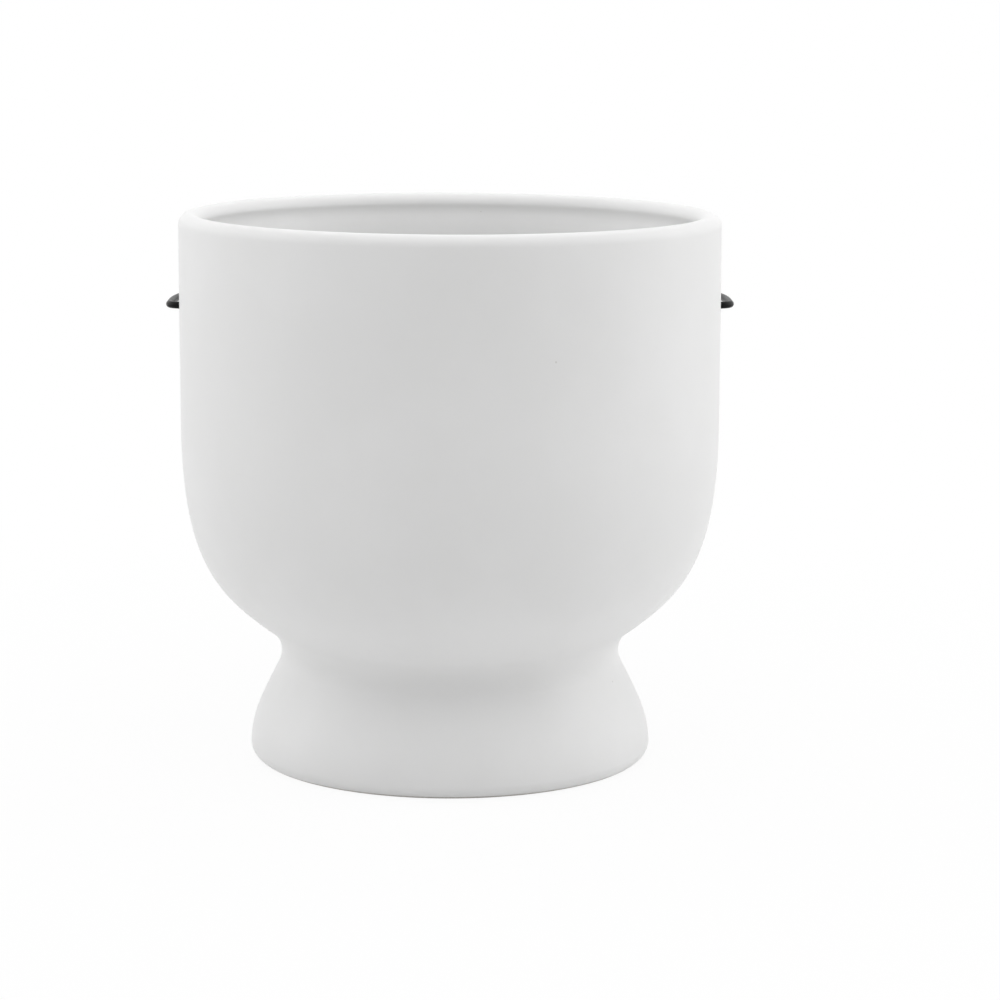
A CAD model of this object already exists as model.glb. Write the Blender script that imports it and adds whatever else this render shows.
import math

import bpy
import bmesh
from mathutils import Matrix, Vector


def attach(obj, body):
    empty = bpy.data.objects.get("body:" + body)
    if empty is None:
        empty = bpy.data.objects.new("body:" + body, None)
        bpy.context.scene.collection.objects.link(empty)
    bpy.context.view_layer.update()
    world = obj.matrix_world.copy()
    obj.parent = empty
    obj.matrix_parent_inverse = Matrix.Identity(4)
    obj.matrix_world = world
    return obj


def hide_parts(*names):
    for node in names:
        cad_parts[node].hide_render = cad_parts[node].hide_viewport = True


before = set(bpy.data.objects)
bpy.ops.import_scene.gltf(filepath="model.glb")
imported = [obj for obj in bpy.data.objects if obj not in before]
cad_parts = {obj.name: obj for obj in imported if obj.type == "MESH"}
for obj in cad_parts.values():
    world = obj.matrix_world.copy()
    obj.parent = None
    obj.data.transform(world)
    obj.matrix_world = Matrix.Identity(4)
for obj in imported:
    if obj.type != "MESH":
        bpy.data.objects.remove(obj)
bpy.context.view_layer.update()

MM = 0.001
TURN = 2 * math.pi


# ------------------------------------------------------------------ the camera and the studio
def look(thing, place, target):
    thing.location = place
    thing.rotation_euler = (Vector(target) - Vector(place)).to_track_quat("-Z", "Y").to_euler()


def set_camera():
    bpy.ops.object.camera_add()
    camera = bpy.context.object
    camera.name = "camera"
    pitch = math.radians(9.71)
    away = 903.8 * MM
    aim = Vector((0, 0, 72.2 * MM))
    look(camera, aim + away * Vector((0, math.cos(pitch), math.sin(pitch))), aim)
    camera.data.sensor_width = 36
    camera.data.lens = 115.9
    camera.data.shift_x = 0.05
    camera.data.clip_start = 0.01
    bpy.context.scene.camera = camera


def softbox(name, place, target, size, power):
    bpy.ops.object.light_add(type="AREA")
    lamp = bpy.context.object
    lamp.name = name
    look(lamp, place, target)
    lamp.data.shape = "RECTANGLE"
    lamp.data.size, lamp.data.size_y = size
    lamp.data.energy = power


bpy.context.scene.view_settings.view_transform = "Standard"
set_camera()


# ------------------------------------------------------------------ shaders as expressions
class Shade:
    """A socket, or a number, that Python's operators add Math nodes to."""

    def __init__(self, tree, socket):
        self.tree, self.socket = tree, socket

    def maths(self, operation, *values):
        return self.tree.node("ShaderNodeMath", {"operation": operation}, *values)[0]

    def __add__(self, other): return self.maths("ADD", self, other)
    def __radd__(self, other): return self.maths("ADD", other, self)
    def __sub__(self, other): return self.maths("SUBTRACT", self, other)
    def __rsub__(self, other): return self.maths("SUBTRACT", other, self)
    def __mul__(self, other): return self.maths("MULTIPLY", self, other)
    def __rmul__(self, other): return self.maths("MULTIPLY", other, self)

    def between(self, low, high):
        """0 at low, 1 at high, smooth in between."""
        settings = {"interpolation_type": "SMOOTHSTEP"}
        return self.tree.node("ShaderNodeMapRange", settings, self, low, high)[0]


class Graph:
    """A node tree that is built up from expressions."""

    def __init__(self, tree):
        self.nodes, self.links = tree.nodes, tree.links

    def node(self, kind, settings=None, *values, **named):
        """A node with its settings, then its sockets in their order or by name. Gives its outputs."""
        made = self.nodes.new(kind)
        for key, value in (settings or {}).items():
            setattr(made, key, value)
        sockets = [*zip(made.inputs, values)]
        sockets += [(made.inputs[name.replace("_", " ")], value) for name, value in named.items()]
        for socket, value in sockets:
            if isinstance(value, Shade):
                self.links.new(value.socket, socket)
            elif value is not None:
                socket.default_value = value
        return [Shade(self, out) for out in made.outputs]

    def background_rays(self):
        """1 for what the camera sees straight, in a reflection or through something, else 0."""
        rays = self.node("ShaderNodeLightPath")
        return rays[0].maths("MAXIMUM", rays[0], rays[0].maths("MAXIMUM", rays[3], rays[6]))


class Finish(Graph):
    """A material with one Principled shader."""

    def __init__(self, name, **constants):
        self.material = bpy.data.materials.new(name)
        self.material.use_nodes = True
        super().__init__(self.material.node_tree)
        self.shader = self.nodes["Principled BSDF"]
        for socket, value in constants.items():
            self.shader.inputs[socket.replace("_", " ")].default_value = value

    def place(self):
        return self.node("ShaderNodeTexCoord")[3]

    def noise(self, size, detail=2, roughness=0.5, offset=(0, 0, 0)):
        """Noise whose spots are about size metres across."""
        moved = self.node("ShaderNodeMapping", None, self.place(), offset)[0]
        named = {"Scale": 1 / size, "Detail": detail, "Roughness": roughness}
        return self.node("ShaderNodeTexNoise", None, moved, **named)[0]

    def mix(self, share, first, second):
        """A colour between two others."""
        made = self.node("ShaderNodeMix", {"data_type": "RGBA"})
        node = made[2].socket.node
        for index, value in ((0, share), (6, first), (7, second)):
            if isinstance(value, Shade):
                self.links.new(value.socket, node.inputs[index])
            else:
                node.inputs[index].default_value = value if index == 0 else (*value, 1)
        return made[2]

    def bump(self, relief, depth, under=None):
        """A bump of depth metres where relief goes from 0 to 1."""
        named = {"Height": relief, "Distance": depth, "Strength": 1.0}
        if under:
            named["Normal"] = under
        return self.node("ShaderNodeBump", None, **named)[0]

    def feed(self, **sockets):
        """Links what changes over the surface to the shader's sockets."""
        for socket, value in sockets.items():
            self.links.new(value.socket, self.shader.inputs[socket.replace("_", " ")])
        return self.material


def make_glaze():
    """Matte white glaze: a smooth, slightly rolling skin with rare, sunken specks of clay."""
    f = Finish("matte_white_glaze", IOR=1.5)
    cloud = f.noise(38 * MM, 3)
    fine = f.noise(1.1 * MM, 2)
    colour = f.mix(cloud.between(0.35, 0.68), (0.828, 0.828, 0.825), (0.850, 0.850, 0.848))
    apart = {"Vector": f.place(), "Scale": 1 / (9 * MM), "Randomness": 1.0}
    cells = f.node("ShaderNodeTexVoronoi", {"feature": "F1"}, **apart)
    spot = 1 - cells[0].between(0.02, 0.04)
    chosen = f.node("ShaderNodeSeparateColor", None, cells[1])[0].between(0.90, 0.91)
    speck = spot * chosen
    colour = f.mix(speck * 0.4, colour, (0.48, 0.46, 0.44))
    rough = 0.46 + cloud * 0.06 + fine * 0.05
    rolling = f.bump(f.noise(17 * MM, 2), 0.22 * MM)
    skin = f.bump(fine, 0.010 * MM, rolling)
    pin = f.bump(1 - speck, 0.05 * MM, skin)
    return f.feed(Base_Color=colour, Roughness=rough, Normal=pin)


def make_bisque():
    """Bare fired clay on the ring that the foot stands on."""
    f = Finish("bare_clay", IOR=1.45)
    sand = f.noise(0.45 * MM, 3, 0.7)
    worn = f.noise(9 * MM, 3)
    colour = f.mix(sand.between(0.3, 0.75), (0.60, 0.575, 0.54), (0.74, 0.72, 0.69))
    colour = f.mix(worn.between(0.5, 0.8) * 0.5, colour, (0.50, 0.48, 0.455))
    return f.feed(Base_Color=colour, Roughness=0.78 + sand * 0.15, Normal=f.bump(sand, 0.06 * MM))


def make_wire_coat():
    """Satin black powder coat with a fine orange peel and lighter, rubbed spots."""
    f = Finish("satin_black_coat", IOR=1.45, Specular_IOR_Level=0.14)
    peel = f.noise(0.35 * MM, 2)
    rubbed = f.noise(6 * MM, 3).between(0.55, 0.8)
    colour = f.mix(rubbed * 0.6, (0.003, 0.003, 0.0034), (0.009, 0.009, 0.0094))
    rough = 0.26 + peel * 0.12 + rubbed * 0.1
    return f.feed(Base_Color=colour, Roughness=rough, Normal=f.bump(peel, 0.02 * MM))


def make_rubber():
    """Grey moulded rubber with a dusty bloom."""
    f = Finish("grey_rubber", IOR=1.5)
    bloom = f.noise(2.4 * MM, 4, 0.6)
    grain = f.noise(0.3 * MM, 2)
    colour = f.mix(bloom.between(0.35, 0.7), (0.37, 0.372, 0.38), (0.46, 0.462, 0.47))
    return f.feed(Base_Color=colour, Roughness=0.62 + bloom * 0.2, Normal=f.bump(grain, 0.03 * MM))


GLAZE, BISQUE, COAT, RUBBER = make_glaze(), make_bisque(), make_wire_coat(), make_rubber()


# ------------------------------------------------------------------ the pot's outline, in millimetres
def arc(centre, radius, start, end, steps):
    """Points of a circle's part, from one angle to another in degrees."""
    turns = [math.radians(start + (end - start) * i / steps) for i in range(steps + 1)]
    return [(centre[0] + radius * math.cos(a), centre[1] + radius * math.sin(a)) for a in turns]


def bezier(p, t):
    shares = ((1 - t) ** 3, 3 * (1 - t) ** 2 * t, 3 * (1 - t) * t * t, t ** 3)
    return tuple(sum(s * q[i] for s, q in zip(shares, p)) for i in (0, 1))


def beside(p, away, steps):
    """The curve moved to the left of its way by away, or to the right where away is negative."""
    made = []
    for i in range(steps + 1):
        t = i / steps
        way = [(1 - t) ** 2 * (p[1][k] - p[0][k]) + 2 * (1 - t) * t * (p[2][k] - p[1][k])
               + t * t * (p[3][k] - p[2][k]) for k in (0, 1)]
        length = math.hypot(*way)
        x, z = bezier(p, t)
        made.append((x - away * way[1] / length, z + away * way[0] / length))
    return made


BOWL_R, RIM_H, WALL = 75, 153, 6.4
UPRIGHT_H, FLARE = 95.8, 53.5
NECK_R, NECK_H, NECK_CURVE = 47.5, 30, 8.5
FOOT_R, FOOT_EDGE, FOOT_FLARE, FOOT_WALL = 56.3, 3.9, 25, 7
FLOOR_H, DRAIN_R, SEAM = 38, 6, 0.03
TEMPLE_H, HOOK_Y = RIM_H - 25.2, 6
ARM_RISE = 9.3
LENS_H = TEMPLE_H - ARM_RISE
NOSE_TIP_H = TEMPLE_H - 34.8
EYE_DEGREES = 17
NECK_CENTRE = (NECK_R + NECK_CURVE, NECK_H)
# How far each curve's two handles reach, as shares of its height: at the neck, then at the other end
BOWL_PULLS, FOOT_PULLS = (0.32, 0.67), (0.38, 0.36)
LIP_TILT = 0.0042


def start_of(flare, sign):
    """Where the neck's curve passes into the bowl's, above it, or into the foot's, below it."""
    a = math.radians(flare)
    return (NECK_R + NECK_CURVE * (1 - math.cos(a)), NECK_H + sign * NECK_CURVE * math.sin(a))


flare_start = start_of(FLARE, 1)
rise = UPRIGHT_H - flare_start[1]
BOWL_CURVE = [
    flare_start,
    (flare_start[0] + rise * BOWL_PULLS[0] * math.sin(math.radians(FLARE)),
     flare_start[1] + rise * BOWL_PULLS[0] * math.cos(math.radians(FLARE))),
    (BOWL_R, UPRIGHT_H - rise * BOWL_PULLS[1]),
    (BOWL_R, UPRIGHT_H),
]
foot_start = start_of(FOOT_FLARE, -1)
drop = foot_start[1] - FOOT_EDGE
FOOT_CURVE = [
    foot_start,
    (foot_start[0] + drop * FOOT_PULLS[0] * math.sin(math.radians(FOOT_FLARE)),
     foot_start[1] - drop * FOOT_PULLS[0] * math.cos(math.radians(FOOT_FLARE))),
    (FOOT_R, FOOT_EDGE + drop * FOOT_PULLS[1]),
    (FOOT_R, FOOT_EDGE),
]
SIDE = (arc(NECK_CENTRE, NECK_CURVE, 180, 180 - FLARE, 20) + beside(BOWL_CURVE, 0, 40)[1:]
        + [(BOWL_R, RIM_H)])


def outer_r(height):
    """Radius of the pot's outside at a height."""
    for (r0, h0), (r1, h1) in zip(SIDE, SIDE[1:]):
        if h0 <= height <= h1:
            return r0 + (r1 - r0) * (height - h0) / (h1 - h0)
    return BOWL_R


def lip_slope(point):
    """One side of the lip lies a third of a millimetre high and the other as much low."""
    t = min(1, max(0, (point.z / MM - UPRIGHT_H) / (RIM_H - UPRIGHT_H)))
    point.z += LIP_TILT * point.x * t * t * (3 - 2 * t)


# ------------------------------------------------------------------ workshop
def deselect():
    if bpy.context.object and bpy.context.object.mode != "OBJECT":
        bpy.ops.object.mode_set(mode="OBJECT")
    bpy.ops.object.select_all(action="DESELECT")


def only(piece):
    deselect()
    piece.select_set(True)
    bpy.context.view_layer.objects.active = piece
    return piece


def apply_modifier(piece, kind, **settings):
    only(piece)
    modifier = piece.modifiers.new(kind.lower(), kind)
    for key, value in settings.items():
        setattr(modifier, key, value)
    bpy.ops.object.modifier_apply(modifier=modifier.name)


def settle(piece):
    """Puts the object at the origin, with its place in its mesh."""
    only(piece)
    bpy.ops.object.transform_apply(location=True, rotation=True, scale=True)
    return piece


def smooth(piece, angle=40):
    only(piece)
    bpy.ops.object.shade_smooth_by_angle(angle=math.radians(angle))


def mend(piece):
    """Merges doubles and turns every face outwards."""
    only(piece)
    bpy.ops.object.mode_set(mode="EDIT")
    bpy.ops.mesh.select_all(action="SELECT")
    bpy.ops.mesh.remove_doubles(threshold=0.002 * MM)
    bpy.ops.mesh.normals_make_consistent(inside=False)
    bpy.ops.object.mode_set(mode="OBJECT")
    return piece


def join(name, pieces):
    deselect()
    for piece in pieces:
        piece.select_set(True)
    bpy.context.view_layer.objects.active = pieces[0]
    bpy.ops.object.join()
    pieces[0].name = pieces[0].data.name = name
    return pieces[0]


def copy(piece, name):
    only(piece)
    bpy.ops.object.duplicate(linked=False)
    made = bpy.context.object
    made.name = made.data.name = name
    return made


def mirrored(piece, name):
    """The right side's piece, made from the left side's."""
    made = copy(piece, name)
    made.scale.x = -1
    settle(made)
    mend(made)
    smooth(made, 60)
    return made


def turned(name, outline, steps=224):
    """A form turned from an outline of radius and height: a point is extruded along it and spun."""
    deselect()
    bpy.ops.mesh.primitive_plane_add(size=MM)
    piece = bpy.context.object
    piece.name = piece.data.name = name
    bpy.ops.object.mode_set(mode="EDIT")
    bpy.ops.mesh.select_all(action="SELECT")
    bpy.ops.mesh.merge(type="CENTER")
    here = (0.0, 0.0)
    for i, (r, z) in enumerate(outline):
        step = ((r - here[0]) * MM, 0, (z - here[1]) * MM)
        if i == 0:
            bpy.ops.transform.translate(value=step)
        else:
            bpy.ops.mesh.extrude_region_move(TRANSFORM_OT_translate={"value": step})
        here = (r, z)
    bpy.ops.mesh.select_all(action="SELECT")
    bpy.ops.mesh.spin(steps=steps, angle=TURN, center=(0, 0, 0), axis=(0, 0, 1))
    bpy.ops.object.mode_set(mode="OBJECT")
    return mend(piece)


def cut(piece, cutter):
    apply_modifier(piece, "BOOLEAN", operation="DIFFERENCE", solver="EXACT", object=cutter)
    bpy.data.objects.remove(cutter)


def finish(piece, body, slot, material, *replaced):
    piece.data.materials.clear()
    piece.data.materials.append(material)
    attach(piece, body)
    if replaced:
        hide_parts(*replaced)


# ------------------------------------------------------------------ the pot
# The inner wall under the lip: a faint bead, below which the wall thickens, as thrown clay does
UNDER_LIP = [
    (0.2, 149.3), (0.36, 148.5), (0.4, 147.7), (0.28, 146.7), (0.02, 145.4), (-0.25, 144),
    (-0.45, 142.5), (-0.6, 140.5), (-0.68, 138), (-0.7, 134), (-0.65, 129), (-0.55, 123),
    (-0.4, 116), (-0.2, 108), (0, 100),
]
CORNER, DRAIN_EDGE = 7, 1.2
HOLE_R = 1.08
# The hole's mouth: how much wider than the hole, and how far out from the wall
HOLE_MOUTH = [(0, -1.1), (0.06, -0.75), (0.2, -0.42), (0.45, -0.14), (0.85, 0.02), (1.4, 0.1)]


def make_bowl():
    """One turned form, with a rounded lip, a drain hole with soft edges and two hook holes."""
    a = math.radians(FLARE)
    inside = beside(BOWL_CURVE, WALL, 40)
    start_r = inside[0][0] - (inside[0][1] - FLOOR_H) * math.tan(a)
    turn = math.radians(90 - FLARE) / 2
    corner = (start_r - CORNER * math.tan(turn), FLOOR_H + CORNER)
    upright = (99, 103, 108, 113, 118, 123, 126.5, 130, 135, 140, 145, 148.5)
    outline = (
        [(DRAIN_R, NECK_H + 0.6), (DRAIN_R + 0.6, NECK_H), (NECK_R, NECK_H), (NECK_R, NECK_H + SEAM)]
        + SIDE[1:-1]
        + [(BOWL_R, h) for h in upright]
        + arc((BOWL_R - WALL / 2, RIM_H - WALL / 2), WALL / 2, 0, 180, 22)
        + [(BOWL_R - WALL + out, h) for out, h in UNDER_LIP]
        + inside[::-1]
        + arc(corner, CORNER, -FLARE, -90, 12)[1:]
        + [(30, FLOOR_H), (20, FLOOR_H), (12, FLOOR_H)]
        + arc((DRAIN_R + DRAIN_EDGE, FLOOR_H - DRAIN_EDGE), DRAIN_EDGE, 90, 180, 8)
        + [(DRAIN_R, FLOOR_H - 4), (DRAIN_R, NECK_H + 0.6)]
    )
    bowl = turned("glazed_bowl", outline)
    for vertex in bowl.data.vertices:
        lip_slope(vertex.co)
    for side in (-1, 1):
        refine(bowl, Vector((side * BOWL_R, HOOK_Y, TEMPLE_H)) * MM, 8 * MM)
        cut(bowl, hole_cutter(side))
    smooth(bowl, 50)
    finish(bowl, "planter", "matte_glaze", GLAZE, "bowl_base", "bowl_wall")
    return bowl


def refine(piece, centre, reach):
    """Divides the faces round a place more finely."""
    only(piece)
    bpy.ops.object.mode_set(mode="EDIT")
    bpy.ops.mesh.select_all(action="DESELECT")
    mesh = bmesh.from_edit_mesh(piece.data)
    for face in mesh.faces:
        if (face.calc_center_median() - centre).length < reach:
            face.select = True
    bmesh.update_edit_mesh(piece.data)
    bpy.ops.mesh.subdivide(number_cuts=3)
    bpy.ops.object.mode_set(mode="OBJECT")


def hole_cutter(side):
    """The shape of a hook's hole: straight inside, with a mouth rounded by the glaze."""
    inner_end, outer_end, widest = -8.6, 2, HOLE_R + HOLE_MOUTH[-1][0]
    mouth = [(HOLE_R + wider, out) for wider, out in HOLE_MOUTH]
    outline = [(0, inner_end), (HOLE_R, inner_end), *mouth, (widest, outer_end), (0, outer_end)]
    cutter = turned("hook_hole", outline, steps=40)
    cutter.rotation_euler = (0, side * math.pi / 2, 0)
    cutter.location = Vector((side * BOWL_R, HOOK_Y, TEMPLE_H)) * MM
    return settle(cutter)


def make_foot():
    """The hollow foot, with bare clay on the ring that it stands on."""
    edge = arc((FOOT_R - FOOT_EDGE, FOOT_EDGE), FOOT_EDGE, 0, -90, 16)
    mouth, soft = FOOT_R - FOOT_WALL, 1.2
    outline = (
        [(NECK_R, NECK_H), (NECK_R, NECK_H - SEAM)]
        + arc(NECK_CENTRE, NECK_CURVE, 180, 180 + FOOT_FLARE, 14)[1:]
        + beside(FOOT_CURVE, 0, 24)[1:]
        + edge[1:]
        + [(mouth + soft, 0), (mouth + 0.35, 0.35), (mouth, soft)]
        + beside(FOOT_CURVE, -FOOT_WALL, 24)[::-1][1:]
        + arc(NECK_CENTRE, NECK_CURVE + FOOT_WALL, 180 + FOOT_FLARE, 180, 10)[1:]
        + [(NECK_R, NECK_H)]
    )
    foot = turned("glazed_foot", outline)
    smooth(foot, 50)
    finish(foot, "planter", "matte_glaze", GLAZE, "pedestal_foot")
    foot.data.materials.append(BISQUE)
    for face in foot.data.polygons:
        if face.center.z < 0.8 * MM and face.normal.z < -0.5:
            face.material_index = 1
    return foot


# ------------------------------------------------------------------ the face, luted on and glazed over
# How deep a relief's patch lies inside the wall, how far its run-out stays under the wall's surface,
# and the depth that its back is pressed flat towards
SINK, SKIN, BACK = 0.8, 0.015, 4


def wall_patch(turn, half_turn, low, high):
    """Clay just under the bowl's surface, which a relief grows out of. Angles are in degrees."""
    deselect()
    bpy.ops.mesh.primitive_grid_add(x_subdivisions=40, y_subdivisions=40, size=2)
    patch = bpy.context.object
    for vertex in patch.data.vertices:
        a = math.radians(turn + half_turn * vertex.co.x)
        h = (low + high) / 2 + (high - low) / 2 * vertex.co.y
        r = outer_r(h) - SINK
        vertex.co = Vector((r * math.sin(a), -r * math.cos(a), h)) * MM
    apply_modifier(patch, "SOLIDIFY", thickness=2.2 * MM, offset=-1)
    return mend(patch)


def ball(centre, radii, turn=0):
    """An egg of clay, at a place on the wall: across, standing out from the wall, and up."""
    deselect()
    across, out, up = centre
    bpy.ops.mesh.primitive_uv_sphere_add(segments=32, ring_count=16, radius=MM)
    egg = bpy.context.object
    egg.scale = radii
    egg.location = Vector((across, -outer_r(up) - out, up)) * MM
    settle(egg)
    only(egg)
    egg.rotation_euler.z = math.radians(turn)
    return settle(egg)


def drawn_up(levels, root):
    """A form drawn up through level ovals of half width, distance out from the wall, and height. Their
    middles lie at a depth of root inside the wall, so that the form widens as it runs into the wall."""
    def middle(height, out):
        return Vector((0, root - outer_r(height), height)) * MM, out + root

    deselect()
    bpy.ops.mesh.primitive_circle_add(vertices=40, radius=MM, fill_type="NGON")
    form = bpy.context.object
    bpy.ops.object.mode_set(mode="EDIT")
    bpy.ops.mesh.select_all(action="SELECT")
    height, half, out = levels[0]
    here, depth = middle(height, out)
    bpy.ops.transform.resize(value=(half, depth, 1))
    bpy.ops.transform.translate(value=here)
    for height, wide, out in levels[1:]:
        there, deep = middle(height, out)
        bpy.ops.mesh.extrude_region_move(TRANSFORM_OT_translate={"value": there - here})
        bpy.ops.transform.resize(value=(wide / half, deep / depth, 1), center_override=there)
        here, half, depth = there, wide, deep
    bpy.ops.object.mode_set(mode="OBJECT")
    return mend(form)


def rework(body, voxel, rounds):
    """Gives the body one closed skin of cells of the voxel's size, and smooths it."""
    only(body)
    body.data.remesh_voxel_size = voxel * MM
    bpy.ops.object.voxel_remesh()
    apply_modifier(body, "SMOOTH", factor=0.5, iterations=rounds)
    return body


def knead(name, parts, voxel, rounds):
    """Works the parts into one body and smooths it."""
    return rework(join(name, parts), voxel, rounds)


def feather(body, reach=SINK):
    """Lets the body run out into the bowl's surface without a step, from a height of reach down. What
    lies deeper than half of BACK is pressed flat towards it, so that it stays inside the wall."""
    for vertex in body.data.vertices:
        r = math.hypot(vertex.co.x, vertex.co.y)
        base = outer_r(vertex.co.z / MM)
        h = r / MM - base
        t = (h + SINK) / (reach + SINK)
        if t < 0:
            h += SINK
            if h < -BACK / 2:
                h = BACK / 2 * math.exp(2 * h / BACK + 1) - BACK
        elif t < 1:
            h = (2 * reach - SINK) * t * t + (SINK - reach) * t ** 3
        share = (base + h - SKIN) * MM / r
        vertex.co.x *= share
        vertex.co.y *= share


def press(body, turn, level, line, depth, width):
    """Presses a line into what shows of the body. The line gives its height over the level, and its
    strength, at a distance across."""
    for vertex in body.data.vertices:
        r = math.hypot(vertex.co.x, vertex.co.y) / MM
        if r < outer_r(vertex.co.z / MM) - 0.3:
            continue
        across = (math.degrees(math.atan2(vertex.co.x, -vertex.co.y)) - turn) * math.radians(1) * BOWL_R
        up, strength = line(across)
        away = (vertex.co.z / MM - level - up) / width
        share = 1 - depth * strength * math.exp(-away * away) / r
        vertex.co.x *= share
        vertex.co.y *= share


def arch(half, middle, end, power=2):
    """A line that curves from a height in the middle to another at both ends, where it fades."""
    def line(across):
        t = min(1.2, abs(across) / half)
        return middle + (end - middle) * t ** power, max(0, 1 - t ** 6) if t < 1 else 0
    return line


# Height over the tip, half width and distance out from the wall
NOSE_LEVELS = [
    (-7.1, 3.4, 2.0), (-6.2, 5.0, 6.4), (-4.7, 6.3, 10.0), (-2.5, 7.0, 12.2), (0, 7.0, 12.9),
    (3, 6.6, 12.6), (6.5, 6.1, 11.6), (11.5, 5.8, 10.3), (17.5, 5.8, 8.9), (23.5, 6.0, 7.5),
    (28.5, 6.4, 6.2), (32.5, 7.1, 4.9), (36, 8.2, 3.3), (39, 9.8, 1.7), (42, 11.8, 0.3), (45, 14, -1.2),
]


def make_nose():
    """A ridge with a rounded tip and two wings, worked into one, then pierced by the nostrils."""
    levels = [(NOSE_TIP_H + up, half, out) for up, half, out in NOSE_LEVELS]
    parts = [drawn_up(levels, root=3), ball((0, 7.4, NOSE_TIP_H - 0.3), (6.0, 6.1, 5.8))]
    parts.append(wall_patch(0, 16, NOSE_TIP_H - 13, NOSE_TIP_H + 49))
    for side in (-1, 1):
        parts.append(ball((side * 7.2, 2.4, NOSE_TIP_H - 1.9), (3.7, 5.4, 4.7)))
        parts.append(ball((side * 4.4, 5.6, NOSE_TIP_H - 2.1), (3.8, 5.0, 4.2)))
    nose = knead("nose_relief", parts, voxel=0.5, rounds=26)
    for side in (-1, 1):
        nostril = ball((side * 4.1, 6.2, NOSE_TIP_H - 6.5), (1.8, 2.8, 2.7))
        cut(nose, nostril)
    rework(nose, voxel=0.4, rounds=5)
    feather(nose, reach=1.4)
    smooth(nose, 60)
    finish(nose, "planter", "matte_glaze", GLAZE, "nose")


def make_eyelid():
    """The face's left eyelid, closed, with a lash line and a fold above it."""
    turn, level = EYE_DEGREES, LENS_H - 1.5
    eye = ball((0, -6.0, level), (12.4, 9.1, 7.0), turn)
    patch = wall_patch(turn, 12, level - 11, level + 11)
    lid = knead("left_eyelid_relief", [eye, patch], voxel=0.34, rounds=8)
    feather(lid, reach=1.0)
    press(lid, turn, level, arch(half=9.8, middle=-3.2, end=0.2), depth=1.0, width=0.5)
    press(lid, turn, level, arch(half=9.4, middle=4.0, end=1.4), depth=0.42, width=0.7)
    smooth(lid, 60)
    other = mirrored(lid, "right_eyelid_relief")
    finish(lid, "planter", "matte_glaze", GLAZE, "left_eyelid")
    finish(other, "planter", "matte_glaze", GLAZE, "right_eyelid")


MOUTH_H, MOUTH_HALF = NOSE_TIP_H - 23, 16.5
# How deep the lips' ovals reach inside the wall, and how much their corners rise
LIP_ROOT, CORNER_RISE = 2.4, 1.2


def full(s, power):
    """1 in the middle of a lip, 0 at its corners."""
    return 1 - abs(s) ** power


def drawn_across(height_at, proud_at, side):
    """A lip drawn across the wall through upright ovals, above the mouth's line or below it."""
    turn = math.asin(MOUTH_HALF / outer_r(MOUTH_H))
    steps = 24
    deselect()
    across = (0, math.pi / 2, 0)
    bpy.ops.mesh.primitive_circle_add(vertices=28, radius=MM, fill_type="NGON", rotation=across)
    form = settle(bpy.context.object)
    bpy.ops.object.mode_set(mode="EDIT")
    bpy.ops.mesh.select_all(action="SELECT")
    here, size, angle = Vector((0, 0, 0)), (1.0, 1.0), 0.0
    for i in range(steps + 1):
        s = 2 * i / steps - 1
        high, out = height_at(s), proud_at(s)
        up = MOUTH_H + CORNER_RISE * s * s + side * (0.15 + high / 2)
        a = s * turn
        r = outer_r(up) - LIP_ROOT
        depth = out + LIP_ROOT
        there = Vector((r * math.sin(a), -r * math.cos(a), up)) * MM
        if i == 0:
            bpy.ops.transform.translate(value=there)
        else:
            bpy.ops.mesh.extrude_region_move(TRANSFORM_OT_translate={"value": there - here})
        bpy.ops.transform.rotate(value=angle, orient_axis="Z", center_override=there)
        bpy.ops.transform.resize(value=(1, depth / size[0], high / 2 / size[1]), center_override=there)
        bpy.ops.transform.rotate(value=-a, orient_axis="Z", center_override=there)
        here, size, angle = there, (depth, high / 2), a
    bpy.ops.object.mode_set(mode="OBJECT")
    return mend(form)


def make_mouth():
    """Two lips, the upper one dipped in the middle, worked into one with the line between them."""
    upper = drawn_across(
        lambda s: 1.1 + 5.5 * full(s, 1.5) * (1 - 0.3 * math.exp(-(s / 0.2) ** 2)),
        lambda s: 0.75 + 3.65 * full(s, 1.5), 1)
    lower = drawn_across(lambda s: 1.1 + 7.3 * full(s, 2.2), lambda s: 0.75 + 4.25 * full(s, 2.2), -1)
    patch = wall_patch(0, 19, MOUTH_H - 14, MOUTH_H + 13)
    mouth = knead("mouth_relief", [upper, lower, patch], voxel=0.4, rounds=8)
    feather(mouth, reach=1.2)
    press(mouth, 0, MOUTH_H, arch(half=15.5, middle=0, end=CORNER_RISE), depth=0.9, width=0.45)
    smooth(mouth, 60)
    finish(mouth, "planter", "matte_glaze", GLAZE, "upper_lip", "lower_lip")


# ------------------------------------------------------------------ the wire glasses
WIRE = 1.0
EYE_TURN = math.radians(EYE_DEGREES)
LENS_DIST, LENS_R = BOWL_R + 5.8, 18
# The side arm: the wire's middle off the wall, the hook's bend, and the straight length before it
STAND_OFF, HOOK_BEND, STRAIGHT = 2.65, 3.6, 10


def on_lens(across):
    """Place in plan of the point of the left ring that lies across from its centre."""
    return (LENS_DIST * math.sin(EYE_TURN) + across * math.cos(EYE_TURN),
            -LENS_DIST * math.cos(EYE_TURN) + across * math.sin(EYE_TURN))


def wire_end(name, place, way):
    """The first circle of a wire, square to its way."""
    deselect()
    place, turn = Vector(place) * MM, Vector(way).to_track_quat("Z", "Y").to_euler()
    bpy.ops.mesh.primitive_circle_add(vertices=24, radius=WIRE * MM, location=place, rotation=turn)
    piece = settle(bpy.context.object)
    piece.name = piece.data.name = name
    bpy.ops.object.mode_set(mode="EDIT")
    bpy.ops.mesh.select_all(action="SELECT")
    return piece


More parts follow.
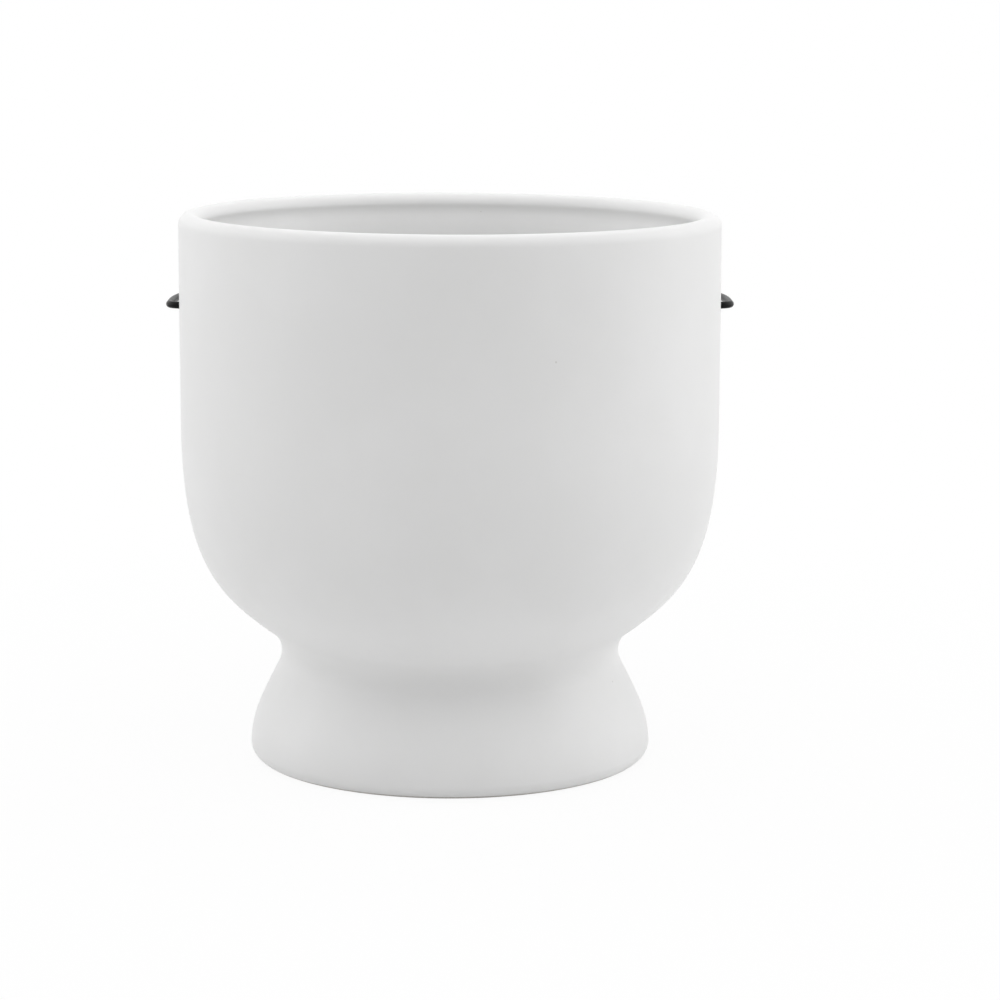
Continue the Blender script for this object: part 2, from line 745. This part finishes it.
def round_bend(centre, axis, degrees, steps):
    """Leads the wire on round a centre."""
    bpy.ops.mesh.spin(steps=steps, angle=-math.radians(degrees), center=Vector(centre) * MM, axis=axis)


def straight(step):
    """Leads the wire straight on."""
    bpy.ops.mesh.extrude_region_move(TRANSFORM_OT_translate={"value": Vector(step) * MM})


def make_ring():
    """The left ring, bent from one wire and butt-soldered at its outer side."""
    axis = (math.sin(EYE_TURN), -math.cos(EYE_TURN), 0)
    x, y = on_lens(LENS_R)
    ring = wire_end("left_ring", (x, y, LENS_H), (0, 0, 1))
    centre = (*on_lens(0), LENS_H)
    round_bend(centre, axis, 360, steps=144)
    bpy.ops.object.mode_set(mode="OBJECT")
    mend(ring)
    smooth(ring, 60)
    other = mirrored(ring, "right_ring")
    finish(ring, "glasses", "black_wire", COAT, "left_lens_rim")
    finish(other, "glasses", "black_wire", COAT, "right_lens_rim")


def solder(piece, place, reach, gain, way):
    """Swells a wire's end where it is soldered on, like a small trumpet."""
    place, way = Vector(place) * MM, Vector(way).normalized()
    for vertex in piece.data.vertices:
        away = vertex.co - place
        along = abs(away.dot(way)) / MM
        if along < reach and away.length < 4 * MM:
            out = away - way * away.dot(way)
            vertex.co += out * gain * (1 - along / reach) ** 2


def make_bridge():
    """A wire arch over the nose, soldered to both rings."""
    a, camber = math.radians(20), 2
    end = on_lens(-LENS_R * math.cos(a))
    end_h = LENS_H + LENS_R * math.sin(a)
    top = end_h + camber
    r = (end[0] ** 2 + camber ** 2) / (2 * camber)
    turn = math.degrees(math.asin(end[0] / r))
    way = (math.cos(math.radians(turn)), 0, math.sin(math.radians(turn)))
    bridge = wire_end("bridge_wire", (-end[0], end[1], end_h), way)
    round_bend((0, end[1], top - r), (0, 1, 0), 2 * turn, steps=36)
    bpy.ops.object.mode_set(mode="OBJECT")
    for side in (-1, 1):
        place = (side * end[0], end[1], end_h)
        solder(bridge, place, reach=2.6, gain=0.75, way=(way[0], 0, -side * way[2]))
    cap(bridge)
    finish(bridge, "glasses", "black_wire", COAT, "glasses_bridge")


def cap(piece):
    """Closes the open ends of a tube."""
    only(piece)
    bpy.ops.object.mode_set(mode="EDIT")
    bpy.ops.mesh.select_all(action="DESELECT")
    bpy.ops.mesh.select_mode(type="EDGE")
    bpy.ops.mesh.select_non_manifold()
    bpy.ops.mesh.fill_holes(sides=0)
    bpy.ops.mesh.select_mode(type="VERT")
    bpy.ops.object.mode_set(mode="OBJECT")
    mend(piece)
    smooth(piece, 60)


def make_temple():
    """The left side arm: soldered to its ring, bent round the bowl in two curves, with a hooked end."""
    start = Vector(on_lens(math.sqrt(LENS_R ** 2 - ARM_RISE ** 2)))
    x, back, bend = BOWL_R + STAND_OFF, HOOK_Y, HOOK_BEND
    arc_y, near_r, near_turn = back - STRAIGHT, 64, math.radians(18)

    def inward(turn):
        return Vector((-math.cos(turn), math.sin(turn)))

    near_centre = Vector((x - near_r, arc_y))
    meeting = near_centre - near_r * inward(near_turn)
    chord = meeting - start
    far_turn = 2 * (math.atan2(chord.x, chord.y) - near_turn)
    far_r = chord.length / (2 * math.sin(far_turn / 2))
    far_centre = meeting + far_r * inward(near_turn)
    way = (math.sin(near_turn + far_turn), math.cos(near_turn + far_turn), 0)
    arm = wire_end("left_side_arm", (*start, TEMPLE_H), way)
    round_bend((*far_centre, TEMPLE_H), (0, 0, 1), math.degrees(far_turn), steps=44)
    round_bend((*near_centre, TEMPLE_H), (0, 0, 1), math.degrees(near_turn), steps=18)
    straight((0, back - bend - arc_y, 0))
    round_bend((x - bend, back - bend, TEMPLE_H), (0, 0, 1), 90, steps=14)
    past_wall, dome = 3, 0.5
    tip = BOWL_R - WALL - past_wall
    tip_place = Vector((tip, back, TEMPLE_H)) * MM
    straight((tip + dome - (x - bend), 0, 0))
    for step, share in ((-0.25, 0.9), (-0.17, 0.75), (-0.08, 0.6)):
        straight((step, 0, 0))
        bpy.ops.transform.resize(value=(1, share, share), center_override=tip_place)
    bpy.ops.object.mode_set(mode="OBJECT")
    solder(arm, (*start, TEMPLE_H), reach=2.8, gain=0.6, way=way)
    cap(arm)
    other = mirrored(arm, "right_side_arm")
    finish(arm, "glasses", "black_wire", COAT, "left_temple")
    finish(other, "glasses", "black_wire", COAT, "right_temple")


# ------------------------------------------------------------------ the stopper
def make_stopper():
    """A moulded rubber stopper: three soft ribs, a rounded flange, and a stem with a ball to pull."""
    groove, rib, ball_r, ball_z = 5.25, 5.95, 4, -10.5
    ribs, flange_t = 3, 2.5
    pitch = (FLOOR_H - NECK_H - flange_t / 3) / ribs
    wave = [(groove, 0.38), (groove + 0.25, 0.46), (rib - 0.12, 0.60), (rib, 0.67), (rib, 0.76),
            (rib - 0.14, 0.84), (groove + 0.12, 0.97)]
    shank = [(groove, 0)]
    for i in range(ribs):
        shank += [(r, i * pitch + share * pitch) for r, share in wave]
    shank += [(4.6, ribs * pitch), (0, ribs * pitch)]
    turns = [math.radians(degrees) for degrees in range(-90, 48, 8)]
    neck = [(ball_r * math.cos(a), ball_z + ball_r * math.sin(a)) for a in turns]
    stem = [(2.75, ball_z + 3.4), (2.6, ball_z + 4.2), (2.6, -4.2), (2.75, -3.4), (3.3, -2.75),
            (4.2, -flange_t)]
    flange = [(9.3, -flange_t), (9.62, -2.42), (9.88, -2.2), (10, -1.87), (10, -0.5),
              (9.85, -0.15), (9.5, 0)]
    outline = neck + stem + flange + shank
    stopper = turned("drain_plug", [(r, z + NECK_H) for r, z in outline], steps=96)
    smooth(stopper, 40)
    finish(stopper, "stopper", "stopper_rubber", RUBBER, "drain_stopper")


make_bowl()
make_foot()
make_nose()
make_eyelid()
make_mouth()
make_ring()
make_bridge()
make_temple()
make_stopper()


# ------------------------------------------------------------------ the floor, the world and the lamps
def make_floor():
    """A pale floor just under the foot's ring. Seen straight, it runs out to white round the object."""
    deselect()
    bpy.ops.mesh.primitive_plane_add(size=6, location=(0, 0, -0.04 * MM))
    floor = bpy.context.object
    floor.name = floor.data.name = "studio_floor"
    f = Finish("pale_floor", Roughness=0.9)
    f.shader.inputs["Base Color"].default_value = (0.9, 0.9, 0.9, 1)
    glow = f.node("ShaderNodeEmission", None, Color=(1, 1, 1, 1), Strength=1.0)[0]
    away = f.node("ShaderNodeVectorMath", {"operation": "LENGTH"}, f.place())[1]
    seen = f.background_rays() * (0.93 + 0.07 * away.between(0.1, 0.4))
    mixed = f.node("ShaderNodeMixShader", None, seen, Shade(f, f.shader.outputs[0]), glow)[0]
    f.links.new(mixed.socket, f.nodes["Material Output"].inputs["Surface"])
    floor.data.materials.append(f.material)


def make_world():
    """White where it is seen, and a soft, weaker light on the object."""
    world = bpy.data.worlds.new("studio")
    bpy.context.scene.world = world
    world.use_nodes = True
    g = Graph(world.node_tree)
    shine = g.nodes["Background"]
    shine.inputs["Color"].default_value = (1, 1, 1, 1)
    strength = g.node("ShaderNodeMapRange", None, g.background_rays(), To_Min=0.277, To_Max=1.0)[0]
    g.links.new(strength.socket, shine.inputs["Strength"])


# Name, place, the point it looks at, size in metres, and power in watts
SOFTBOXES = [
    ("left_softbox", (0.95, -0.05, 0.35), (0, 0, 0.09), (0.9, 1.1), 3.6),
    ("right_softbox", (-0.95, -0.05, 0.35), (0, 0, 0.09), (0.9, 1.1), 4.55),
    ("left_face_softbox", (0.8, -0.7, 0.4), (0, 0, 0.09), (0.8, 0.9), 1.2),
    ("right_face_softbox", (-0.8, -0.7, 0.4), (0, 0, 0.09), (0.8, 0.9), 0.75),
    ("top_softbox", (0, -0.1, 1.1), (0, 0, 0.1), (1.0, 1.0), 1.8),
    ("back_top_softbox", (0, 0.5, 1.0), (0, 0, 0.09), (0.8, 0.8), 4.1),
    ("face_top_softbox", (0, -0.6, 0.9), (0, 0, 0.09), (0.8, 0.8), 1.6),
]

make_floor()
make_world()
for lamp in SOFTBOXES:
    softbox(*lamp)
